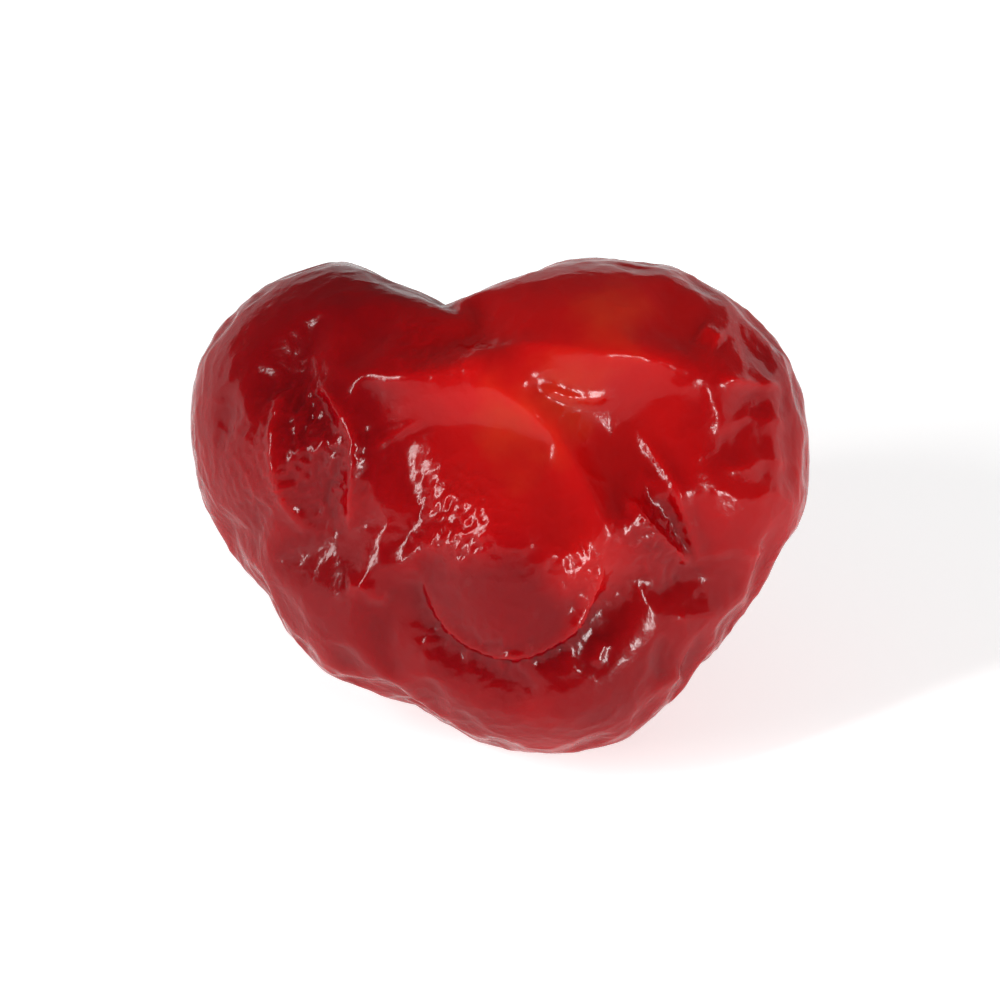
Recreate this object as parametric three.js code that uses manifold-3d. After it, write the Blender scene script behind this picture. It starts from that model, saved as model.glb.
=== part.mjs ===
// A candied cherry, pitted and shrivelled, as one solid fruit.
//
// The fruit is heart-shaped: two shoulders with the stem cavity between them, and a blunt tip below.
// It leans back on the flat spot where its soft flesh has sagged. The skin has shrunk over the flesh,
// so its front has a round dome between two folds, with ridges running out from the stem cavity.
//
// Millimetres, +X to the fruit's right shoulder, +Y to its back, +Z up. The origin is on the surface that
// the fruit rests on, under the middle of its box.

import * as THREE from "three";
import { mergeVertices } from "three/addons/utils/BufferGeometryUtils.js";
import Module from "manifold-3d";

// ---- Driving dimensions: millimetres and degrees ----

const WIDTH = 20; // across both shoulders
const LEAN = 30; // how far the heart's plane leans back from upright
const FRONT_DEPTH = 6.9; // from the heart's plane to the front of the plain body
const BACK_DEPTH = 7.0; // and to the back of it
const FULLNESS = 0.07; // how far the body swells past an ellipsoid between its rim and its poles
const TIP_FORWARD = 1.2; // how far the tip curls to the front
const GROOVE_FADE = [0.2, 0.92]; // where the groove between the shoulders fades, from 0 at the rim to 1 at the poles
const SAG = 0.9; // how much of the underside has gone flat under the fruit's own weight
const SKIN_DETAIL = 17; // how finely the starting icosahedron is divided

// The heart's rim: direction in degrees from +X towards the stem end, distance from the middle of the
// heart, and that distance on the front and the back, where the groove between the shoulders has faded.
const RIM = [
  [0, 9.9, 9.9],
  [25, 10.3, 10.3],
  [48, 9.5, 9.6],
  [70, 8.15, 8.8],
  [90, 6.8, 8.3],
  [105, 6.15, 8.2],
  [113, 7.3, 8.4],
  [124, 9.1, 9.0],
  [140, 10.2, 9.8],
  [157, 10.5, 10.2],
  [180, 9.55, 9.55],
  [202, 8.2, 8.4],
  [222, 7.9, 7.9],
  [247, 7.3, 7.6],
  [272, 8.1, 8.1],
  [296, 8.75, 8.7],
  [320, 8.5, 8.5],
  [345, 9.1, 9.1],
];

// Hollows and swellings of the skin: the middle [across, up] in millimetres from the heart's middle, the
// side it is on, 1 for the front and -1 for the back, its radius, and its height, below 0 for a hollow.
const LUMPS = [
  { at: [0.4, -1.8], side: 1, radius: 4.0, height: 1.1 }, // the dome
  { at: [-0.8, 5.3], side: 1, radius: 2.6, height: -1.1 }, // the stem cavity
  { at: [3.4, 1.7], side: 1, radius: 2.2, height: -0.5 }, // the flat facet beside the dome
  { at: [5.4, 5.4], side: 1, radius: 2.2, height: -0.5 }, // the hollow on the right shoulder
  { at: [7.8, -0.4], side: 1, radius: 2.4, height: 0.4 },
  { at: [-3.4, -4.4], side: 1, radius: 2.2, height: -0.35 },
  { at: [-8.3, -0.8], side: 1, radius: 2.0, height: -0.4 },
  { at: [1.4, -6.2], side: 1, radius: 2.6, height: 0.35 },
  { at: [-5.2, 4.2], side: -1, radius: 3.4, height: 0.7 },
  { at: [5.2, 2.8], side: -1, radius: 3.2, height: 0.6 },
  { at: [0.4, 1.4], side: -1, radius: 2.8, height: -0.9 },
  { at: [-3.2, -2.4], side: -1, radius: 2.6, height: 0.5 },
];

// Folds and ridges: a line of [across, up] points, the side it is on, its half width, and its height,
// which is below 0 for a fold that sinks into the skin.
const CREASES = [
  // Front: the leaf-shaped fold beside the dome, and the slanting fold on the other side of it.
  { line: [[-6.1, 3.4], [-6.2, 1.2], [-5.7, -1.0]], side: 1, width: 1.3, height: -0.6 },
  { line: [[4.2, 2.6], [5.0, 0.5], [6.2, -2.4]], side: 1, width: 1.0, height: -0.5 },
  // Front: the ridge that frames the flat facet, and the long ridge below both shoulders.
  { line: [[-0.7, 3.6], [1.7, 2.2], [2.9, -0.3], [4.3, -1.7]], side: 1, width: 0.9, height: 0.35 },
  { line: [[-5.3, 3.9], [-1.5, 3.4], [1.2, 4.1], [4.8, 4.2], [6.9, 3.7]], side: 1, width: 0.9, height: 0.35 },
  // Front: the step under the dome.
  { line: [[-2.8, -3.2], [-1.4, -4.9], [0.6, -5.7], [2.6, -4.8], [4.0, -2.8]], side: 1, width: 0.9, height: -0.45 },
  // Back: folds that run from the stem end to the tip.
  { line: [[-1.6, 6.4], [-0.9, 2.6], [-1.4, -1.2], [-0.4, -4.8]], side: -1, width: 1.1, height: -0.9 },
  { line: [[-7.6, 3.8], [-6.2, 0.4], [-4.8, -2.8]], side: -1, width: 1.0, height: -0.6 },
  { line: [[2.4, 5.2], [3.4, 1.8], [2.8, -2.4]], side: -1, width: 0.9, height: -0.6 },
  { line: [[8.6, 2.8], [6.6, -0.4], [5.4, -3.6]], side: -1, width: 1.0, height: -0.6 },
];

const rad = THREE.MathUtils.degToRad;
const smoothstep = THREE.MathUtils.smoothstep;

// ---- The body: a heart blown up to a fruit ----

function closedCurve(column) {
  const knots = RIM.map((row) => {
    const [x, y] = [Math.cos(rad(row[0])), Math.sin(rad(row[0]))];
    return new THREE.Vector3(x, y, 0).multiplyScalar(row[column]);
  });
  return new THREE.CatmullRomCurve3(knots, true, "centripetal");
}

const rim = closedCurve(1);
const fadedRim = closedCurve(2);

// The point of the rim in the direction of an angle: each knot of the rim is met at its own angle.
// fade is 0 at the rim and 1 where the groove has gone.
function rimPoint(angle, fade) {
  const degrees = (THREE.MathUtils.radToDeg(angle) + 360) % 360;
  const next = RIM.findIndex(([knot]) => knot > degrees);
  const last = RIM.length - 1;
  const from = next < 0 ? last : next - 1;
  const to = next < 0 ? 360 : RIM[next][0];
  const share = (degrees - RIM[from][0]) / (to - RIM[from][0]);
  const along = (from + share) / RIM.length;
  return rim.getPoint(along).lerp(fadedRim.getPoint(along), fade);
}

// Where a point of the unit sphere goes on the plain body, in the heart's own directions:
// x across, y up to the stem end, z to the front.
function onBody(direction) {
  const flat = Math.hypot(direction.x, direction.y);
  const fade = smoothstep(Math.abs(direction.z), ...GROOVE_FADE);
  const edge = rimPoint(Math.atan2(direction.y, direction.x), fade);
  const swell = 1 + FULLNESS * (2 * flat * direction.z) ** 2;
  const depth = direction.z > 0 ? FRONT_DEPTH : BACK_DEPTH;
  const point = new THREE.Vector3(edge.x * flat * swell, edge.y * flat * swell, direction.z * depth * swell);
  point.z += TIP_FORWARD * smoothstep(-point.y, 1, 8);
  return point;
}

// ---- The skin: hollows, swellings, folds and ridges ----

// The shape across a lump or crease: 1 in the middle, falling smoothly to nothing at about twice the width.
const bell = (distance, width) => Math.exp(-((distance / width) ** 2));

// The distance from a point to a line of points in the heart's plane.
function distanceToLine(x, y, line) {
  let best = Infinity;
  for (let i = 0; i + 1 < line.length; i++) {
    const [ax, ay] = line[i];
    const [bx, by] = line[i + 1];
    const along = ((x - ax) * (bx - ax) + (y - ay) * (by - ay)) / ((bx - ax) ** 2 + (by - ay) ** 2);
    const t = THREE.MathUtils.clamp(along, 0, 1);
    best = Math.min(best, Math.hypot(x - ax - t * (bx - ax), y - ay - t * (by - ay)));
  }
  return best;
}

// How far the skin stands out from the plain body at a point of it.
function relief(point, direction) {
  const onSide = (side) => smoothstep(direction.z * side, -0.05, 0.35);
  let height = 0;
  for (const { at, side, radius, height: tall } of LUMPS)
    height += tall * onSide(side) * bell(Math.hypot(point.x - at[0], point.y - at[1]), radius / 1.6);
  for (const { line, side, width, height: tall } of CREASES)
    height += tall * onSide(side) * bell(distanceToLine(point.x, point.y, line), width);
  return height;
}

function fruitGeometry() {
  const skin = new THREE.IcosahedronGeometry(1, SKIN_DETAIL);
  skin.deleteAttribute("normal");
  skin.deleteAttribute("uv");
  const geometry = mergeVertices(skin, 1e-5);
  const position = geometry.getAttribute("position");
  const direction = new THREE.Vector3();
  const outward = new THREE.Vector3();
  for (let i = 0; i < position.count; i++) {
    direction.fromBufferAttribute(position, i).normalize();
    const point = onBody(direction);
    // The outward direction of an ellipsoid of about the body's size.
    outward.set(direction.x / 9.5, direction.y / 8.2, direction.z / 7.4).normalize();
    point.addScaledVector(outward, relief(point, direction));
    position.setXYZ(i, point.x, point.y, point.z);
  }
  return geometry;
}

// ---- Setting the fruit down ----

const wasm = await Module();
wasm.setup();

function solidOf(geometry) {
  return new wasm.Manifold(
    new wasm.Mesh({
      numProp: 3,
      vertProperties: new Float32Array(geometry.getAttribute("position").array),
      triVerts: new Uint32Array(geometry.index.array),
    }),
  );
}

function geometryOf(solid) {
  const mesh = solid.getMesh();
  const geometry = new THREE.BufferGeometry();
  geometry.setAttribute("position", new THREE.BufferAttribute(mesh.vertProperties, 3));
  geometry.setIndex(new THREE.BufferAttribute(mesh.triVerts, 1));
  return geometry;
}

// Turns the heart from its own directions to the part's frame, sizes it to WIDTH, cuts its underside flat
// and puts the origin under the middle of its box.
function setDown(geometry) {
  const upright = new THREE.Matrix4().makeRotationX(rad(90 - LEAN));
  geometry.applyMatrix4(upright);
  geometry.computeBoundingBox();
  const grown = WIDTH / (geometry.boundingBox.max.x - geometry.boundingBox.min.x);
  geometry.scale(grown, grown, grown);
  geometry.computeBoundingBox();
  geometry.translate(0, 0, -geometry.boundingBox.min.z - SAG);

  const block = new THREE.BoxGeometry(3 * WIDTH, 3 * WIDTH, WIDTH);
  block.translate(0, 0, -WIDTH / 2);
  block.deleteAttribute("normal");
  block.deleteAttribute("uv");
  const rested = geometryOf(solidOf(geometry).subtract(solidOf(mergeVertices(block))));

  rested.computeBoundingBox();
  const middle = rested.boundingBox.getCenter(new THREE.Vector3());
  rested.translate(-middle.x, -middle.y, 0);
  rested.computeVertexNormals();
  return rested;
}

const syrupRed = new THREE.MeshStandardMaterial({ color: 0xa30a10, roughness: 0.15, metalness: 0 });

const cherry = new THREE.Mesh(setDown(fruitGeometry()), syrupRed);
cherry.name = "cherry";

const group = new THREE.Group();
group.add(cherry);

export default group;
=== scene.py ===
"""A candied cherry on a pale table, in plain soft studio light.

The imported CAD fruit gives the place, the size and the main shape. The fruit that shows is made from it:
its folds are pressed in, its skin is grown a little over the flesh until it wrinkles, and its sharp ridges
and crinkles are raised on the finer mesh. Blender's unit is the metre; shapes here are given in millimetres.
"""

import math

import bmesh
import bpy
import numpy as np
from mathutils import Matrix, Vector, noise


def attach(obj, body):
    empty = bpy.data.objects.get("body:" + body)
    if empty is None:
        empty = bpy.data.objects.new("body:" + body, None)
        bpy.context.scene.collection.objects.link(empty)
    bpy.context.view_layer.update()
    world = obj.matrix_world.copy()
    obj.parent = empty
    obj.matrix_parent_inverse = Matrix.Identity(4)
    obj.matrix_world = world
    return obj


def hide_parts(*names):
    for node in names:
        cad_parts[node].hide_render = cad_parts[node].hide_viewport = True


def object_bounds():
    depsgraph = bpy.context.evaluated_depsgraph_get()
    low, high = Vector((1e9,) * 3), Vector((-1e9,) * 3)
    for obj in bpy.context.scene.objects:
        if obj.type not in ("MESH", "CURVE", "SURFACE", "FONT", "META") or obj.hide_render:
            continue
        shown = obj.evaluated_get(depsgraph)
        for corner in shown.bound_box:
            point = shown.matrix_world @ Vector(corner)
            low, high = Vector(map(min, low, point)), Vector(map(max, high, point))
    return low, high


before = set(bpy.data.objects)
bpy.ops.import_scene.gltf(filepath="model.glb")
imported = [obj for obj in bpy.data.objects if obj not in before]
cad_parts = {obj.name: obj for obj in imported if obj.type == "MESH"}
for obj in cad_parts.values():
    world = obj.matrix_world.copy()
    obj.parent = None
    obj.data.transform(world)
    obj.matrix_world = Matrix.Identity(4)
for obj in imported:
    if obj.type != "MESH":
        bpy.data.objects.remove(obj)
cad_low, cad_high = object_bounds()

MM = 0.001

# ---- The camera, softboxes and table ----

VIEW_ELEVATION = 30.0  # degrees above the horizon
VIEW_DISTANCE = 0.36  # metres, as are the sizes of the softboxes and the table
FRUIT_SHARE = 0.62  # how much of the picture's width the fruit takes
AIM = Vector((0, 0, 0.007))  # about the fruit's middle
SOFTBOX_DISTANCE = 0.30
TABLE_RADIUS = 0.5
# The table's curved-up rim, ring by ring: how far out and how far up it goes.
TABLE_RIM = ((0.02, 0.004), (0.015, 0.015), (0.005, 0.03), (0.0, 0.06))

# ---- The fruit ----

# The heart's middle in the part's frame, and how far its plane leans back from upright.
HEART_MIDDLE = np.array([-0.045, 0.406, 6.890])
LEAN = math.radians(30)

VOXEL = 0.25  # the remesh that the skin is grown on
RELAX_TIMES = 5
GROWTH_FRONT = 0.02  # how much wider the skin gets than the flesh under it, on the front
GROWTH_BACK = 0.06  # and on the back
MOST_MOVE = 0.5  # how far growing may move a point
SLACK = 0.12  # how far the skin is drawn in before it grows back out


def linear(colour):
    """An sRGB hex colour as linear RGBA."""
    parts = [int(colour[i : i + 2], 16) / 255 for i in (1, 3, 5)]
    return (*[c / 12.92 if c <= 0.04045 else ((c + 0.055) / 1.055) ** 2.4 for c in parts], 1.0)


def add(tree, kind, inputs=None, **settings):
    """Adds a node with its settings, and sets or links its inputs."""
    made = tree.nodes.new(kind)
    for name, value in settings.items():
        setattr(made, name, value)
    for name, value in (inputs or {}).items():
        if isinstance(value, bpy.types.NodeSocket):
            tree.links.new(value, made.inputs[name])
        else:
            made.inputs[name].default_value = value
    return made


# ---- Stage ----


def direction(azimuth, elevation):
    """From the fruit: azimuth 0 is the camera's side and 90 is +X, in degrees."""
    a, e = math.radians(azimuth), math.radians(elevation)
    return Vector((math.sin(a) * math.cos(e), -math.cos(a) * math.cos(e), math.sin(e)))


def aim(thing, target, way, distance):
    thing.location = target + way * distance
    thing.rotation_mode = "QUATERNION"
    thing.rotation_quaternion = (-way).to_track_quat("-Z", "Y")
    bpy.context.scene.collection.objects.link(thing)


def make_camera():
    data = bpy.data.cameras.new("camera")
    fruit_width = cad_high.x - cad_low.x
    data.lens = data.sensor_width * VIEW_DISTANCE * FRUIT_SHARE / fruit_width
    data.clip_start = 0.01
    camera = bpy.data.objects.new("camera", data)
    aim(camera, AIM, direction(0, VIEW_ELEVATION), VIEW_DISTANCE)
    bpy.context.scene.camera = camera


def softbox(name, azimuth, elevation, size, watts):
    data = bpy.data.lights.new(name, "AREA")
    data.shape = "RECTANGLE"
    data.size, data.size_y = size
    data.energy = watts
    aim(bpy.data.objects.new(name, data), AIM, direction(azimuth, elevation), SOFTBOX_DISTANCE)


def shade_smooth(mesh):
    for face in mesh.polygons:
        face.use_smooth = True


def make_stage():
    """A round white table that glows a little, with a curved-up rim."""
    bm = bmesh.new()
    bmesh.ops.create_circle(bm, cap_ends=True, segments=96, radius=TABLE_RADIUS)
    edges = [e for e in bm.edges if e.is_boundary]
    for out, up in TABLE_RIM:
        ring = bmesh.ops.extrude_edge_only(bm, edges=edges)["geom"]
        verts = [v for v in ring if isinstance(v, bmesh.types.BMVert)]
        edges = [e for e in ring if isinstance(e, bmesh.types.BMEdge) and e.is_boundary]
        for v in verts:
            flat = Vector((v.co.x, v.co.y, 0)).normalized()
            v.co += flat * out + Vector((0, 0, up))
    mesh = bpy.data.meshes.new("table")
    bm.to_mesh(mesh)
    bm.free()
    shade_smooth(mesh)
    table = bpy.data.objects.new("table", mesh)
    bpy.context.scene.collection.objects.link(table)
    material = bpy.data.materials.new("white acrylic light table")
    material.use_nodes = True
    shader = material.node_tree.nodes["Principled BSDF"]
    shader.inputs["Base Color"].default_value = linear("#f4f4f4")
    shader.inputs["Roughness"].default_value = 0.6
    shader.inputs["Emission Color"].default_value = linear("#ffffff")
    shader.inputs["Emission Strength"].default_value = 0.58
    mesh.materials.append(material)


def make_world():
    world = bpy.data.worlds.new("studio")
    bpy.context.scene.world = world
    world.use_nodes = True
    world.node_tree.nodes["Background"].inputs["Color"].default_value = linear("#767676")


# ---- Shape ----


def points_of(mesh):
    flat = np.empty(len(mesh.vertices) * 3)
    mesh.vertices.foreach_get("co", flat)
    return flat.reshape(-1, 3)


def normals_of(mesh):
    flat = np.empty(len(mesh.vertices) * 3)
    mesh.vertices.foreach_get("normal", flat)
    return flat.reshape(-1, 3)


def set_points(mesh, points):
    mesh.vertices.foreach_set("co", points.ravel())
    mesh.update()


def smoothstep(x, low, high):
    t = np.clip((x - low) / (high - low), 0, 1)
    return t * t * (3 - 2 * t)


def in_heart(points):
    """Points in metres, as millimetres in the heart's directions: across, up to the stem, to the front."""
    x, y, z = (points / MM - HEART_MIDDLE).T
    up = y * math.sin(LEAN) + z * math.cos(LEAN)
    front = -y * math.cos(LEAN) + z * math.sin(LEAN)
    return x, up, front


def rounded(line, rounds=3):
    """The line with its corners cut, so that it runs as a smooth curve."""
    points = np.array(line, float)
    for _ in range(rounds):
        a, b = points[:-1], points[1:]
        cut = np.stack([a * 0.75 + b * 0.25, a * 0.25 + b * 0.75], axis=1).reshape(-1, 2)
        points = np.vstack([points[:1], cut, points[-1:]])
    return points


def near_line(x, y, line):
    """Each point's distance from the line, below 0 on its right-hand side, and how far along it is."""
    points = rounded(line)
    lengths = np.hypot(*np.diff(points, axis=0).T)
    starts = np.concatenate([[0], np.cumsum(lengths)])
    best, side, along = np.full(x.shape, np.inf), np.ones(x.shape), np.zeros(x.shape)
    for (ax, ay), (bx, by), length, start in zip(points[:-1], points[1:], lengths, starts):
        ux, uy = (bx - ax) / length, (by - ay) / length
        t = np.clip((x - ax) * ux + (y - ay) * uy, 0, length)
        dx, dy = x - ax - t * ux, y - ay - t * uy
        distance = np.hypot(dx, dy)
        closer = distance < best
        best = np.where(closer, distance, best)
        side = np.where(closer, np.sign(ux * dy - uy * dx), side)
        along = np.where(closer, (start + t) / starts[-1], along)
    return best, side, along


def crest(distance, width):
    """Across a ridge: 1 on its narrow top, falling to nothing on both sides."""
    return np.exp(-((distance / width) ** 1.4))


def taper(along, ends=0.25):
    return smoothstep(np.minimum(along, 1 - along), -0.02, ends)


# Places on the skin are (across, up) in the heart's plane. A side is 1 for the front and -1 for the back.
# Broad swellings: the place, the side, the radius and the height.
SWELLINGS = [
    ((-1.2, 4.8), 1, 1.9, 0.85),
    ((1.3, 5.1), 1, 1.8, 0.5),
    ((-6.2, 1.4), 1, 1.8, 0.72),
    ((5.3, 0.2), 1, 1.6, 0.3),
    ((0.0, -0.7), 1, 1.6, 0.4),
    ((2.7, -2.2), 1, 1.4, 0.22),
    ((3.4, 5.5), 1, 1.6, 0.3),
    ((5.6, 5.2), 1, 1.7, 0.35),
]
# Ridges: the line of places, the side, the half width and the height.
RIDGES = [
    # The leaf-shaped fold's two lips.
    ([(-6.0, 3.8), (-5.3, 3.4), (-4.7, 2.3), (-4.5, 1.0), (-4.7, -1.3)], 1, 0.25, 0.34),
    ([(-6.2, 3.7), (-7.0, 2.9), (-7.2, 1.4), (-6.9, 0.0), (-6.2, -0.9), (-5.3, -1.3)], 1, 0.25, 0.28),
    # The slanting fold's lips on the other side of the dome.
    ([(4.3, 2.2), (4.9, 1.4), (5.5, 0.5), (6.0, -0.7), (6.5, -2.3)], 1, 0.2, 0.24),
    ([(3.9, 0.2), (4.4, -0.7), (5.2, -1.5), (6.3, -2.3)], 1, 0.25, 0.3),
    # The soft ridge that frames the flat facet.
    ([(-0.8, 3.9), (0.3, 3.2), (1.6, 2.2), (2.5, 0.7), (3.2, -0.8), (4.0, -1.7)], 1, 0.3, 0.17),
    # The long ridge below the shoulders.
    (
        [(-5.2, 3.8), (-3.2, 3.7), (-1.4, 3.9), (-0.2, 4.5), (1.1, 4.8), (3.0, 4.5), (4.8, 4.4), (6.8, 3.8)],
        1,
        0.3,
        0.16,
    ),
    # A short tuck, and the dash on the right shoulder.
    ([(1.2, 3.6), (1.9, 3.2), (2.8, 3.1), (3.8, 3.3)], 1, 0.2, 0.16),
    ([(6.9, 3.8), (7.8, 3.6), (9.0, 3.5)], 1, 0.2, 0.24),
    ([(6.4, 5.3), (7.1, 4.8)], 1, 0.35, 0.3),
    # The dash over the dome's left side.
    ([(-4.2, 1.3), (-3.4, 2.0), (-2.2, 2.5)], 1, 0.2, 0.12),
    # The dome's right edge.
    ([(3.4, -1.9), (3.0, -2.9), (2.2, -4.2), (1.7, -4.9)], 1, 0.18, 0.12),
    # Small folds that run out to the right edge.
    ([(6.9, 1.9), (7.7, 2.6), (8.8, 2.3), (9.4, 2.6)], 1, 0.3, 0.12),
    ([(6.8, 1.1), (7.5, 0.7), (8.5, 1.3), (9.3, 0.9)], 1, 0.26, 0.13),
    ([(8.0, -0.2), (8.8, 0.2), (9.5, -0.5)], 1, 0.24, 0.1),
    ([(6.7, -1.9), (7.5, -1.4), (8.6, -2.0)], 1, 0.28, 0.1),
    # Lower left: a bump that catches the light, and the ridge along the edge.
    ([(-4.9, -2.9), (-4.2, -2.8), (-3.5, -3.4)], 1, 0.3, 0.2),
    ([(-6.2, -4.3), (-5.4, -5.5), (-4.4, -6.2), (-2.6, -6.9)], 1, 0.35, 0.15),
    # Lower right: a soft upright ridge and three small bumps.
    ([(2.5, -3.4), (2.3, -4.6), (2.3, -5.9)], 1, 0.4, 0.14),
    ([(3.0, -5.4), (3.4, -4.5)], 1, 0.22, 0.15),
    ([(4.8, -6.1), (5.9, -5.6)], 1, 0.3, 0.15),
    ([(5.5, -3.9), (7.2, -3.7)], 1, 0.22, 0.1),
    # Back: wrinkles that run from the stem end to the tip, and cross ones between them.
    ([(-4.6, 6.4), (-3.4, 3.4), (-3.9, 0.6), (-2.4, -2.2)], -1, 0.35, 0.16),
    ([(3.9, 6.0), (5.3, 3.6), (4.8, 0.6), (4.1, -2.4)], -1, 0.35, 0.16),
    ([(0.6, 4.4), (1.7, 2.0), (0.9, -0.4), (1.9, -2.8)], -1, 0.3, 0.14),
    ([(-8.4, 2.4), (-7.8, -0.2), (-6.2, -2.0)], -1, 0.3, 0.13),
    ([(7.6, 4.4), (7.3, 2.0), (7.9, -0.6)], -1, 0.3, 0.13),
    ([(-6.8, 5.4), (-5.6, 4.6), (-4.9, 3.2)], -1, 0.3, 0.12),
    ([(-2.9, 0.9), (-1.7, 0.2), (-0.4, 0.5)], -1, 0.25, 0.12),
    ([(1.4, -3.6), (2.6, -3.1), (3.9, -3.6), (5.2, -3.2)], -1, 0.28, 0.12),
]
# Steps: a line run so that its outside is on its right-hand side, the side, the half width and how far the
# outside drops. The only one is the dome's edge.
STEPS = [
    (
        [(-2.5, -2.2), (-2.1, -3.4), (-1.2, -4.6), (0.2, -5.1), (1.5, -4.9), (2.7, -3.6), (3.4, -2.0)],
        1,
        0.3,
        0.3,
    ),
]
# Where the skin is finely crinkled: the place, the side, the radius and the height of the crinkles.
PATCHES = [
    ((-1.2, -0.8), 1, 1.6, 0.1),
    ((-6.1, 1.0), 1, 2.2, 0.11),
    ((-6.4, 2.6), 1, 1.2, 0.13),
    ((-5.9, -0.6), 1, 1.0, 0.07),
    ((5.2, -1.2), 1, 1.5, 0.08),
    ((0.2, -5.0), 1, 1.3, 0.08),
    ((-1.7, -4.2), 1, 1.0, 0.07),
    ((2.7, -2.5), 1, 1.3, 0.07),
    ((-4.2, -3.0), 1, 0.9, 0.06),
    ((-2.4, 4.7), 1, 1.2, 0.08),
    ((-0.8, 4.2), 1, 1.0, 0.07),
    ((-3.0, 2.4), -1, 2.6, 0.05),
    ((3.6, -0.4), -1, 2.8, 0.05),
    ((0.4, 5.2), -1, 1.6, 0.05),
]
SKIN_WRINKLE = 0.9  # the spacing of the skin's small wrinkles
SKIN_WRINKLE_HEIGHT = 0.03
TEETH = 21  # how many puckers run along the foot of a step
TEETH_HEIGHT = 0.13  # and their height, as a share of the drop
CRINKLE = 0.34  # the spacing of the fine crinkles in the patches
SIDE_FADE = 2.5  # how far from the heart's plane a side's ridges and patches reach their full height


def on_side(front, side):
    """How far a point is on the front (1) or the back (-1), from 0 at the rim to 1."""
    return smoothstep(front * side, 0.0, SIDE_FADE)


def around(x, y, place, radius):
    """1 at a place, falling smoothly to nothing at about twice the radius."""
    return np.exp(-((x - place[0]) ** 2 + (y - place[1]) ** 2) / radius**2)


def relief(x, y, front, rows, shape):
    """The height of every row's line, with its shape across the line."""
    height = np.zeros(x.shape)
    for line, side, width, tall in rows:
        distance, hand, along = near_line(x, y, line)
        height += tall * taper(along) * on_side(front, side) * shape(distance, hand, width, along)
    return height


def stroke(distance, hand, width, along):
    return crest(distance, width)


def step(distance, hand, width, along):
    """A sharp lip with a drop beyond it that eases back out, its foot puckered into small teeth."""
    outside = np.where(hand < 0, np.exp(-distance / (4 * width)) * (1 - np.exp(-distance / (0.5 * width))), 0)
    foot = np.where(hand < 0, np.exp(-(((distance - 0.9 * width) / (0.8 * width)) ** 2)), 0)
    teeth = TEETH_HEIGHT * foot * np.sin(2 * np.pi * TEETH * along + 2 * np.sin(9 * along))
    return 0.6 * crest(distance, 0.6 * width) - outside + teeth


def ridged(points, spacing):
    """Noise with narrow crests: 1 on a crest and about 0 between."""
    scaled = points / (MM * spacing)
    return np.array([1 - min(1.0, 3 * abs(noise.noise(p))) for p in scaled.tolist()])


def crinkles(points, x, y, front):
    """Small wrinkles all over the skin, and finer ones in the patches."""
    share = np.zeros(x.shape)
    for place, side, radius, tall in PATCHES:
        share = np.maximum(share, tall * around(x, y, place, radius) * on_side(front, side))
    return SKIN_WRINKLE_HEIGHT * ridged(points, SKIN_WRINKLE) + share * ridged(points, CRINKLE)


def broad_shape(points):
    """The height of the broad swellings, over skin that is drawn in a little."""
    x, y, front = in_heart(points)
    height = np.full(x.shape, -SLACK)
    for place, side, radius, tall in SWELLINGS:
        height += tall * around(x, y, place, radius) * on_side(front, side)
    return height


def fine_shape(points):
    """The height of the ridges, the dome's edge and the crinkles."""
    x, y, front = in_heart(points)
    lines = relief(x, y, front, RIDGES, stroke) + relief(x, y, front, STEPS, step)
    return lines + crinkles(points, x, y, front)


def displace(mesh, shape):
    """Moves each point out along its normal by the height that the shape gives there."""
    points = points_of(mesh)
    set_points(mesh, points + normals_of(mesh) * (shape(points) * MM)[:, None])


def apply_modifier(thing, kind, **settings):
    modifier = thing.modifiers.new(kind.lower(), kind)
    for name, value in settings.items():
        setattr(modifier, name, value)
    bpy.context.view_layer.objects.active = thing
    bpy.ops.object.modifier_apply(modifier=modifier.name)


def edit(mesh, change):
    bm = bmesh.new()
    bm.from_mesh(mesh)
    change(bm)
    bm.to_mesh(mesh)
    bm.free()


def relax(bm):
    """Smooths away the steps that the remesh leaves."""
    for _ in range(RELAX_TIMES):
        bmesh.ops.smooth_vert(
            bm, verts=bm.verts, factor=0.5, use_axis_x=True, use_axis_y=True, use_axis_z=True
        )


SIM_SCALE = 50.0  # the cloth solver works best at about a metre across
SIM_FRAMES = 26
RESTING = 0.35  # the skin below this height is held still
HOLD = 0.2  # how firmly the flesh holds the rest of the skin


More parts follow.
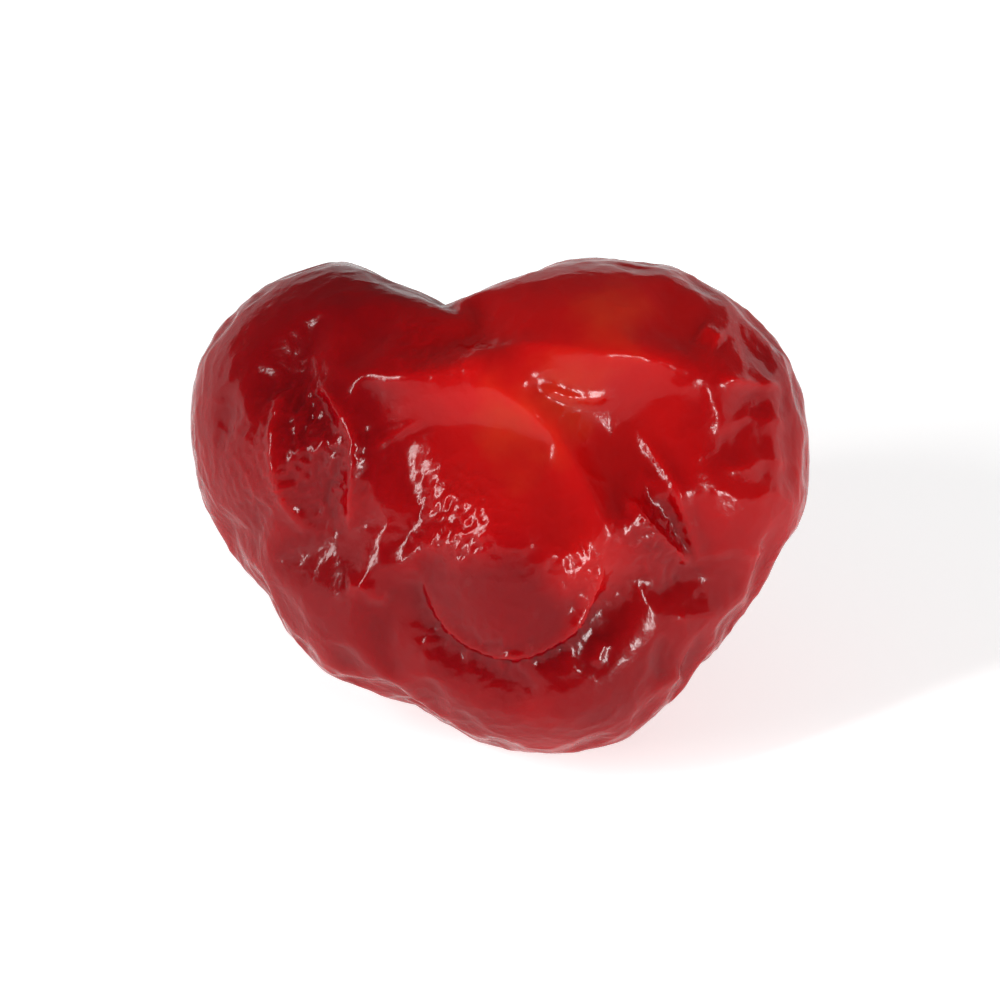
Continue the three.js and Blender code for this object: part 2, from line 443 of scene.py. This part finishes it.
def grow_skin(fruit):
    """Grows the skin over the flesh, which holds it by soft springs, so that it buckles into wrinkles."""
    mesh = fruit.data
    start = points_of(mesh)
    _, _, front = in_heart(start)
    mesh.transform(Matrix.Scale(SIM_SCALE, 4))

    held = fruit.vertex_groups.new(name="held")
    resting = start[:, 2] < RESTING * MM
    held.add(np.flatnonzero(resting).tolist(), 1.0, "REPLACE")
    held.add(np.flatnonzero(~resting).tolist(), HOLD, "REPLACE")

    grown = fruit.vertex_groups.new(name="grown")
    for index, share in enumerate(smoothstep(-front, -4.0, 3.0)):
        grown.add([index], float(share), "REPLACE")

    cloth = fruit.modifiers.new("growth", "CLOTH")
    skin = cloth.settings
    skin.quality = 6
    skin.mass = 0.3
    skin.tension_stiffness = skin.compression_stiffness = skin.shear_stiffness = 15
    skin.tension_damping = skin.compression_damping = skin.shear_damping = 5
    skin.bending_stiffness = 20
    skin.air_damping = 5
    skin.shrink_min = -GROWTH_FRONT
    skin.shrink_max = -GROWTH_BACK
    skin.vertex_group_shrink = "grown"
    skin.vertex_group_mass = "held"
    skin.pin_stiffness = 1.0
    skin.effector_weights.gravity = 0
    cloth.collision_settings.use_collision = False
    cloth.point_cache.frame_start = 1
    cloth.point_cache.frame_end = SIM_FRAMES
    for number in range(1, SIM_FRAMES + 1):
        bpy.context.scene.frame_set(number)
    bpy.context.view_layer.objects.active = fruit
    bpy.ops.object.modifier_apply(modifier="growth")
    bpy.context.scene.frame_set(1)

    mesh = fruit.data
    mesh.transform(Matrix.Scale(1 / SIM_SCALE, 4))
    moved = points_of(mesh) - start
    length = np.linalg.norm(moved, axis=1)
    cap = np.minimum(1, MOST_MOVE * MM / np.maximum(length, 1e-9))
    set_points(mesh, start + moved * cap[:, None])
    fruit.vertex_groups.clear()


def make_fruit():
    """The CAD fruit with its folds filled out, its skin grown into wrinkles, and its ridges raised."""
    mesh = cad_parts["cherry"].data.copy()
    mesh.name = "candied_cherry"
    mesh.materials.clear()
    fruit = bpy.data.objects.new("candied_cherry", mesh)
    bpy.context.scene.collection.objects.link(fruit)
    edit(mesh, lambda bm: bmesh.ops.remove_doubles(bm, verts=bm.verts, dist=0.01 * MM))
    edit(mesh, lambda bm: bmesh.ops.recalc_face_normals(bm, faces=bm.faces))
    apply_modifier(fruit, "REMESH", mode="VOXEL", voxel_size=VOXEL * MM)
    edit(fruit.data, relax)
    displace(fruit.data, broad_shape)
    grow_skin(fruit)
    apply_modifier(fruit, "SUBSURF", levels=1, render_levels=1)
    displace(fruit.data, fine_shape)
    paint_glow_and_shade(fruit.data)

    points = points_of(fruit.data)
    points[:, 2] = np.maximum(points[:, 2], 0)
    set_points(fruit.data, points)
    shade_smooth(fruit.data)
    fruit.data.materials.append(candied_flesh())
    return fruit


# ---- Material ----

# Painted glow and shade in the flesh's colour: the place, the radius, and how much, 1 at most. Above 0 the
# colour is painted brighter, as light shining through the flesh; below 0 it is painted darker, as shade.
PAINTED_GLOW_AND_SHADE = [
    ((1.0, 1.4), 3.6, 0.75),
    ((-0.3, 3.2), 2.5, 0.5),
    ((3.8, 5.8), 4.0, 0.8),
    ((3.0, -2.1), 1.2, 0.7),
    ((7.0, 0.5), 3.2, 0.4),
    ((3.0, -5.5), 4.5, 0.1),
    ((0.6, -3.4), 1.9, -0.5),
    ((4.8, -0.8), 1.6, -0.4),
]


def paint_glow_and_shade(mesh):
    """Keeps on each point its painted glow, where light is painted as shining through, or below 0 its painted
    shade.
    """
    x, y, _ = in_heart(points_of(mesh))
    without_glow = np.ones(x.shape)
    for place, radius, share in PAINTED_GLOW_AND_SHADE:
        without_glow *= 1 - share * around(x, y, place, radius)
    mesh.attributes.new("painted_glow_and_shade", "FLOAT", "POINT").data.foreach_set("value", 1 - without_glow)


def candied_flesh():
    """Sugared cherry flesh under a fine syrup glaze: light soaks in and glows red, and the skin is glossy."""
    material = bpy.data.materials.new("candied cherry flesh")
    material.use_nodes = True
    tree = material.node_tree
    shader = tree.nodes["Principled BSDF"]
    place = add(tree, "ShaderNodeTexCoord").outputs["Object"]

    # Painted light: the glow and shade kept on each point, plus random tone, pick the flesh colour.
    painted_glow_and_shade = add(tree, "ShaderNodeAttribute", attribute_name="painted_glow_and_shade").outputs["Fac"]
    cloudy = add(tree, "ShaderNodeTexNoise", {"Vector": place, "Scale": 1000 / 2.5, "Detail": 3.0})
    spread = {"Value": cloudy.outputs["Fac"], "To Min": -0.22, "To Max": 0.22}
    uneven = add(tree, "ShaderNodeMapRange", spread)
    painted_glow_and_tone = add(tree, "ShaderNodeMath", {0: painted_glow_and_shade, 1: uneven.outputs["Result"]}, operation="ADD")
    flesh = add(tree, "ShaderNodeValToRGB", {"Fac": painted_glow_and_tone.outputs["Value"]})
    ramp = flesh.color_ramp
    # From painted shade, a deep wine red, to painted glow where light shines through, an orange red.
    ramp.elements[0].color = linear("#740207")
    ramp.elements[1].color = linear("#b83016")
    for position, colour in ((0.35, "#960509"), (0.75, "#ac0d0d")):
        ramp.elements.new(position).color = linear(colour)
    tree.links.new(flesh.outputs["Color"], shader.inputs["Base Color"])

    crinkle = add(tree, "ShaderNodeTexNoise", {"Vector": place, "Scale": 1000 / 0.3, "Detail": 2.0})
    raised = {"Height": crinkle.outputs["Fac"], "Strength": 0.6, "Distance": 0.03 * MM}
    bump = add(tree, "ShaderNodeBump", raised)
    tree.links.new(bump.outputs["Normal"], shader.inputs["Normal"])

    facing = add(tree, "ShaderNodeLayerWeight", {"Blend": 0.5}).outputs["Facing"]
    rim = {"Value": facing, "From Min": 0.3, "From Max": 0.76, "To Min": 0.34, "To Max": 0.04}
    gloss = add(tree, "ShaderNodeMapRange", rim, interpolation_type="SMOOTHSTEP")
    tree.links.new(gloss.outputs["Result"], shader.inputs["Specular IOR Level"])

    shader.inputs["Roughness"].default_value = 0.16
    shader.inputs["IOR"].default_value = 1.33
    shader.inputs["Subsurface Weight"].default_value = 1.0
    shader.inputs["Subsurface Radius"].default_value = (1.0, 0.12, 0.1)
    shader.inputs["Subsurface Scale"].default_value = 3.0 * MM
    return material


# ---- Put together ----

bpy.context.scene.view_settings.view_transform = "Standard"
make_camera()
softbox("left softbox", -56, 25, (0.036, 0.20), 0.78)
softbox("right softbox", 47, 13, (0.036, 0.10), 0.52)
make_stage()
make_world()

fruit = make_fruit()
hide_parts("cherry")
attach(fruit, "root")
